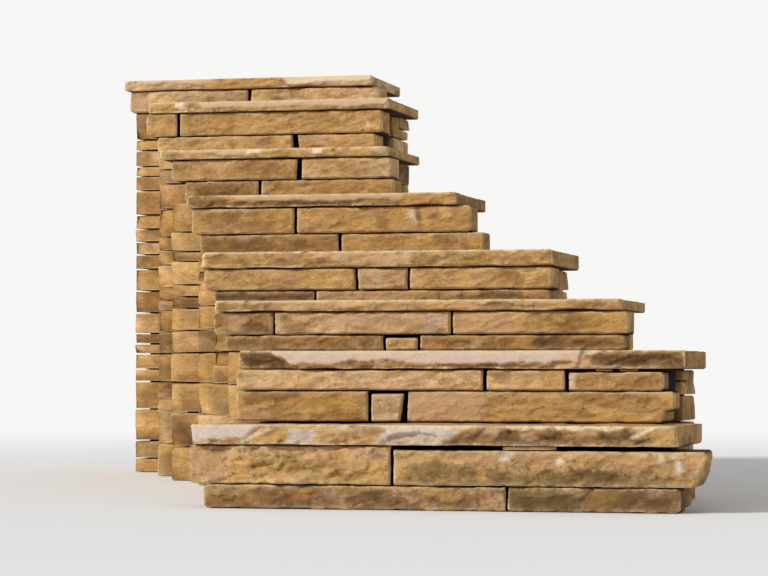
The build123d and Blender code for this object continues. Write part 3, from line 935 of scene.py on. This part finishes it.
total = 0
for number, tone in TREAD_TONES.items():
    node = f"step_{number}_tread"
    look = Look(
        tone=tone,
        rough=TREAD_ROUGHNESS.get(number, EVEN_TREAD),
        lichen=0.25 if number == 1 else 0.0,
        strokes=STROKES.get(node, ()),
        seam=SEAMS[number],
    )
    bm = stone_skin(node, TREAD_ROWS, TREAD_POWER, look, 100 + number, slab=True)
    total += finish_piece(bm, node + "_slab", [node], slab_stone)
print("treads:", len(TREAD_TONES), "triangles:", total)

# %% [markdown]
# Thin chips of stone are driven under a slab or block that rocks. The solids hold several in one
# node, so they are told apart by the vertices that hang together, and each gets a skin.

# %% Shims
SHIM_STEPS = (1, 2)
SHIM_ROWS = 10
SHIM_POWER = 1.2
SHIM_LOOK = Look(tone=0.8, rough=0.6)


def islands(node):
    """The boxes of the separate solids in one node, always in the same order."""
    bm = bmesh.new()
    bm.from_mesh(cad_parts[node].data)
    bmesh.ops.remove_doubles(bm, verts=bm.verts, dist=0.00001)
    left, boxes = set(bm.verts), []
    while left:
        group, edge_of = set(), [left.pop()]
        while edge_of:
            vert = edge_of.pop()
            group.add(vert)
            for edge in vert.link_edges:
                other = edge.other_vert(vert)
                if other in left:
                    left.discard(other)
                    edge_of.append(other)
        low = Vector([min(vert.co[axis] for vert in group) for axis in range(3)])
        high = Vector([max(vert.co[axis] for vert in group) for axis in range(3)])
        boxes.append((low, high))
    bm.free()
    return sorted(boxes, key=lambda box: tuple(box[0]))


total = 0
for number in SHIM_STEPS:
    node = f"step_{number}_shim"
    packers = bmesh.new()
    grain_layers(packers)
    for low, high in islands(node):
        part = stone_skin(node, SHIM_ROWS, SHIM_POWER, SHIM_LOOK, 200 + number, box=(low, high))
        join(packers, part)
    total += finish_piece(packers, node + "_packers", [node], block_stone)
print("steps with shims:", len(SHIM_STEPS), "triangles:", total)

# %% [markdown]
# Behind the risers stands the rubble that carries the treads. On its open sides it is coursed
# walling, with a bed at the level of every tread, so that the side walls and the stairs share
# their beds. The solid has a notch wherever one of these joints opens. Reading the notches back
# from its mesh sets out the stones, so a wall that is built anew is also dressed anew.

# %% Read the joints of a core
SAME_PLANE = 0.0002
SAME_LINE = 0.001
SHORTEST_JOINT = 0.01


class Joints(NamedTuple):
    """Levels of a core's beds, and the upright joints of its left, right and back wall, each
    as its place along the wall and the level of its middle."""
    depth: float
    beds: list
    upright: dict


def read_joints(node):
    low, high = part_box(node)
    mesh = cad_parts[node].data
    points = [vert.co for vert in mesh.vertices]
    depth = min(point.x - low.x for point in points if point.x - low.x > SAME_LINE)
    beds = {round(point.z, 4) for point in points if abs(point.x - low.x - depth) < SAME_PLANE}
    walls = {"L": (0, low.x + depth), "R": (0, high.x - depth), "B": (1, high.y - depth)}
    upright = {side: set() for side in walls}
    for edge in mesh.edges:
        first, second = (points[index] for index in edge.vertices)
        for side, (axis, level) in walls.items():
            deep = all(abs(point[axis] - level) < SAME_PLANE for point in (first, second))
            in_line = abs(first[1 - axis] - second[1 - axis]) < SAME_LINE
            if deep and in_line and abs(first.z - second.z) > SHORTEST_JOINT:
                upright[side].add((round(first[1 - axis], 4), round((first.z + second.z) / 2, 4)))
    return Joints(depth, [0.0, *sorted(beds)], upright)


joints_of = {number: read_joints(f"step_{number}_core") for number in range(1, 9)}
print("joint depth:", round(joints_of[8].depth, 4), "m, beds behind the top step:", len(joints_of[8].beds))

# %% [markdown]
# A wall that shows is a skin of stones laid lengthwise. At the back corners the stones run long
# one way in one course and the other way in the next, which ties the two walls together. Where a
# riser runs on past the tread below it, one thick stone per course turns the corner. One block
# per course, as wide as the whole core, would be lighter but would look like sawn timber.

# %% Set out the walling
WALL = 0.085
JOINT = 0.007
SHORTEST = 0.03
EXPOSED = 0.06
THIN = 0.035
LONG = 0.22
CLOSE = 0.01
THICKER = 0.02
SPLIT_COURSES = 0.3


class WallStone(NamedTuple):
    """A walling stone's box, and which of its sides are open to view: left, right, front, back."""
    low: Vector
    high: Vector
    open_sides: str


def run_of_stones(start, end, joints):
    """Cuts a run of wall at its upright joints."""
    inner = sorted(place for place in joints if start + SHORTEST < place < end - SHORTEST)
    cuts = [start, *inner, end]
    return list(zip(cuts, cuts[1:]))


def riser_tail(number):
    return max(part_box(name)[1].y for name in blocks if name.startswith(f"step_{number}_"))


def bearing_of(number):
    """Where a core begins under its shelf: behind the core below it."""
    return riser_tail(1) if number == 1 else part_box(f"step_{number - 1}_core")[1].y


def shelf_of(number):
    """Where a core steps back: the top of the tread in front of it."""
    return 0.0 if number == 1 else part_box(f"step_{number - 1}_tread")[1].z


def core_stones(number, chance):
    """The walling stones of one core, course by course, wherever the core is open to view."""
    low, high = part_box(f"step_{number}_core")
    joints = joints_of[number]
    last = number == 8
    slab_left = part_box(f"step_{number - 1}_tread")[0].x if number > 1 else low.x
    next_right = high.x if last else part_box(f"step_{number + 1}_core")[1].x
    back_open = last or high.x - next_right > EXPOSED
    made = []
    for row, (bottom, top) in enumerate(zip(joints.beds, joints.beds[1:])):
        over_shelf = bottom > shelf_of(number) - CLOSE
        front = riser_tail(number) if over_shelf else bearing_of(number)
        thick = WALL + chance.uniform(0.0, THICKER)
        back_runs_long = row % 2 == 1

        def cuts_on(side):
            return [place for place, level in joints.upright[side] if bottom < level < top]

        def add(x_range, y_range, sides):
            levels = [bottom, top]
            if top - bottom > 2.2 * THIN and chance.random() < SPLIT_COURSES:
                levels.insert(1, chance.uniform(bottom + THIN, top - THIN))
            for z_range in zip(levels, levels[1:]):
                low_end, high_end = zip(x_range, y_range, z_range)
                made.append(WallStone(Vector(low_end), Vector(high_end), sides))

        # The left and the right side. A toe's corner stone comes first on the left.
        for side, tied in (("L", last), ("R", back_open)):
            has_corner = side == "L" and low.x < slab_left and not over_shelf
            start = low.y if has_corner else front
            end = high.y - (thick if tied and back_runs_long else 0.0)
            x_range = (low.x, low.x + thick) if side == "L" else (high.x - thick, high.x)
            for place, y_range in enumerate(run_of_stones(start, end, cuts_on(side))):
                at_back = tied and y_range[1] > high.y - CLOSE
                if has_corner and place == 0:
                    add((low.x, slab_left - JOINT), y_range, "LFR")
                else:
                    add(x_range, y_range, side + "B" if at_back else side)
        # The back, where the next core doesn't cover it.
        if back_open:
            start = low.x if last else next_right - SHORTEST
            if last and not back_runs_long:
                start += thick
            end = high.x if back_runs_long else high.x - thick
            cuts = cuts_on("B")
            if not cuts and end - start > LONG:
                cuts = [start + (end - start) * chance.uniform(0.3, 0.7)]
            for x_range in run_of_stones(start, end, cuts):
                sides = "B"
                if last and x_range[0] < low.x + CLOSE:
                    sides += "L"
                if x_range[1] > high.x - CLOSE:
                    sides += "R"
                add(x_range, (high.y - thick, high.y), sides)
    return made


print("beds of the first wall:", len(joints_of[1].beds))

# %% [markdown]
# The cells at a walling stone's rim are as narrow as the rounding of its edges. Hidden sides are
# dented less than open ones, or the upright joints would gape.

# %% Dress a walling stone
BED_GAP = 0.0016
CELL = 0.05
EDGE = 0.006
SIDES = (("L", "R"), ("F", "B"), ("under", "over"))
HIDDEN_DENT = 0.25
WALL_SCAR = (0.10, 0.06)
SCAR_DENT = 0.010
ROUGH_DENT = 0.003
PAINTED_SHADE_DENT = 0.014
MOST_LEAN = 0.004
WALL_TONE = (0.42, 0.2)
WALL_SOIL_SHADE = (0.018, 0.035)


def gap_beside(stone, side):
    """Half a joint beside another stone, and none on an open side."""
    return 0.0 if side in stone.open_sides else JOINT / 2


def depth_inside(stone, place):
    """How far a place lies behind the nearest open side of its stone."""
    depths = {
        "L": place.x - stone.low.x, "R": stone.high.x - place.x,
        "F": place.y - stone.low.y, "B": stone.high.y - place.y,
    }
    return min(depths[side] for side in stone.open_sides)


def cut_place(cell, count, length):
    """Where a cut lies along a stone of a length, with narrow cells at both ends."""
    if cell in (0, count):
        return length if cell else 0.0
    return EDGE + (length - 2 * EDGE) * (cell - 1) / (count - 2)


def wall_block(stone, chance):
    """One rounded, uneven walling stone, as a bmesh of its own."""
    low = stone.low + Vector((gap_beside(stone, "L"), gap_beside(stone, "F"), BED_GAP))
    high = stone.high - Vector((gap_beside(stone, "R"), gap_beside(stone, "B"), BED_GAP))
    size = high - low
    counts = [2 + max(1, round(length / CELL)) for length in size]
    bm = cut_box(counts)
    share = bm.verts.layers.float_vector["share"]
    layers = grain_layers(bm)
    offset = Vector([chance.uniform(0, 90) for _ in range(3)])
    tone = clamp(chance.gauss(*WALL_TONE), 0.05, 0.95)
    lean = Vector([chance.uniform(-MOST_LEAN, MOST_LEAN) for _ in range(2)] + [0.0])
    for vert in bm.verts:
        spot = vert[share]
        cells = [round(spot[axis] * counts[axis]) for axis in range(3)]
        place = Vector([cut_place(*sizes) for sizes in zip(cells, counts, size)])
        heart = Vector([clamp(place[axis], EDGE, size[axis] - EDGE) for axis in range(3)])
        away = place - heart
        if away.length > 0:
            place = heart + away.normalized() * EDGE
        at = place + offset
        inwards = size / 2 - place
        struck, tint = scars(at, *WALL_SCAR)
        dent = SCAR_DENT * struck + ROUGH_DENT * (0.5 + 0.5 * noise.noise(at * 8.0))
        push = Vector()
        for axis in range(3):
            if min(place[axis], size[axis] - place[axis]) < EDGE:
                side = SIDES[axis][0 if inwards[axis] > 0 else 1]
                share_of_dent = 1.0 if side in stone.open_sides else HIDDEN_DENT
                push[axis] = math.copysign(dent * share_of_dent, inwards[axis])
        place += push
        vert.co = clamp_inside(low + place + lean * (spot.z - 0.5), stone.low, stone.high)
        # Soil and painted shade in the joints, some way behind the open sides.
        vert[layers["soil_and_shade"]] = smooth_step(*WALL_SOIL_SHADE, depth_inside(stone, vert.co))
        # Rounded corners get the worn cream colour, which also paints a highlight there.
        vert[layers["wear_and_highlight"]] = 0.5 if away.length > EDGE * 1.2 else 0.0
        # Deep dents get painted shade.
        vert[layers["painted_relief_light"]] = clamp(dent / PAINTED_SHADE_DENT, 0.0, 1.0) * 0.8
        vert[layers["tint"]] = tint
        vert[layers["tone"]] = tone
        vert[layers["lichen"]] = 0.35 * smooth_step(0.5, 0.0, vert.co.z)
        vert[layers["grain"]] = vert.co + offset
        vert[layers["brushed_colour"]] = (*UNBRUSHED, 0.0)
    return bm


print("dents up to", round(1000 * (SCAR_DENT + ROUGH_DENT)), "mm on the open sides")

# %% [markdown]
# Between the walls lies a filling of soil and rubble, which shows only in the joints, in the
# nearly black colour of soil and painted shade. It is one plain box, and a second one where the
# core reaches forward under its shelf.

# %% Build the walls
PACKING_INSET = 0.032
PACKING_GAP = 0.002


def packing(bm, low, high):
    """Adds the filling between two corners of a wall as a box in the colour of soil and painted shade."""
    made = bmesh.ops.create_cube(bm, size=1.0)["verts"]
    bmesh.ops.translate(bm, verts=made, vec=(0.5, 0.5, 0.5))
    bmesh.ops.scale(bm, verts=made, vec=high - low)
    bmesh.ops.translate(bm, verts=made, vec=low)
    soil_and_shade = bm.verts.layers.float["soil_and_shade"]
    for vert in made:
        vert[soil_and_shade] = 1.0


total = 0
wall_stones = 0
for number in range(1, 9):
    chance = random.Random(500 + number)
    node = f"step_{number}_core"
    low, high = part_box(node)
    wall = bmesh.new()
    grain_layers(wall)
    for stone in core_stones(number, chance):
        join(wall, wall_block(stone, chance))
        wall_stones += 1
    shelf = shelf_of(number)
    left, right, back = low.x + PACKING_INSET, high.x - PACKING_INSET, high.y - PACKING_INSET
    if shelf:
        front = bearing_of(number) + PACKING_GAP
        packing(wall, Vector((left, front, 0.0)), Vector((right, back, shelf - PACKING_GAP)))
    front = riser_tail(number) + PACKING_GAP
    packing(wall, Vector((left, front, shelf)), Vector((right, back, high.z)))
    total += finish_piece(wall, node + "_walling", [node], rubble_stone)
print("walling stones:", wall_stones, "triangles:", total)

# %% [markdown]
# The studio is a pale floor that passes into a pale backdrop, with no line between them. One
# broad, low light from the left draws the relief as a bright day does, and the sky fills the
# rest. A lamp near the stairs would be as soft, but it would burn a white spot into the floor.

# %% Studio
BACKDROP = (0.93, 0.93, 0.92)
FLOOR_COLOUR = (0.88, 0.87, 0.85)
FLOOR_SIZE = 80.0
FLOOR_FADE = (2.6, 9.0)
SKY_COLOUR = (0.97, 0.98, 1.0)
SKY_STRENGTH = 0.44
SUN_HEIGHT = math.radians(28)
SUN_LEFT = math.radians(47)
SUN_SOFTNESS = math.radians(9)
SUN_ENERGY = 2.65
SUN_DISTANCE = 9.0


def seen_directly(shade):
    """1 for rays that come from the camera or by way of a mirror or a pane of glass."""
    path = shade.node("ShaderNodeLightPath")
    seen = shade.maths("MAXIMUM", path.outputs["Is Camera Ray"], path.outputs["Is Glossy Ray"])
    return shade.maths("MAXIMUM", seen, path.outputs["Is Transmission Ray"])


bm = bmesh.new()
bmesh.ops.create_grid(bm, x_segments=1, y_segments=1, size=FLOOR_SIZE)
floor = add_object("studio_floor", mesh_of(bm, "studio_floor"))
floor.data.materials.append(bpy.data.materials.new("studio floor"))

# Far from the stairs the floor passes into the backdrop's colour.
shade = Shading(floor.data.materials[0])
matt = shade.nodes["Principled BSDF"]
shade.put(FLOOR_COLOUR, matt.inputs["Base Color"])
shade.put(0.95, matt.inputs["Roughness"])
distance = shade.node("ShaderNodeVectorMath", {0: shade.node("ShaderNodeTexCoord").outputs["Object"]})
distance.operation = "LENGTH"
far = shade.between(distance.outputs["Value"], *FLOOR_FADE)
glow = shade.node("ShaderNodeEmission", {"Color": BACKDROP})
far = shade.maths("MULTIPLY", far, seen_directly(shade))
shade.blend(far, matt.outputs["BSDF"], glow.outputs[0], "Material Output")

# The sky lights the stairs, and the backdrop is what is seen of it.
bpy.context.scene.world = bpy.data.worlds.new("studio")
shade = Shading(bpy.context.scene.world)
sky = shade.nodes["Background"]
shade.put(SKY_COLOUR, sky.inputs["Color"])
shade.put(SKY_STRENGTH, sky.inputs["Strength"])
backdrop = shade.node("ShaderNodeBackground", {"Color": BACKDROP})
shade.blend(seen_directly(shade), sky.outputs[0], backdrop.outputs[0], "World Output")

sun_data = bpy.data.lights.new("key", "SUN")
sun_data.energy = SUN_ENERGY
sun_data.angle = SUN_SOFTNESS
sun = add_object("key", sun_data)
towards_sun = Vector((
    -math.sin(SUN_LEFT) * math.cos(SUN_HEIGHT),
    -math.cos(SUN_LEFT) * math.cos(SUN_HEIGHT),
    math.sin(SUN_HEIGHT),
))
sun.location = towards_sun * SUN_DISTANCE
sun.rotation_euler = towards_sun.to_track_quat("Z", "Y").to_euler()
print("key light:", round(math.degrees(SUN_HEIGHT)), "degrees up,",
      round(math.degrees(SUN_LEFT)), "to the left")

bpy.context.scene.view_settings.view_transform = "Standard"
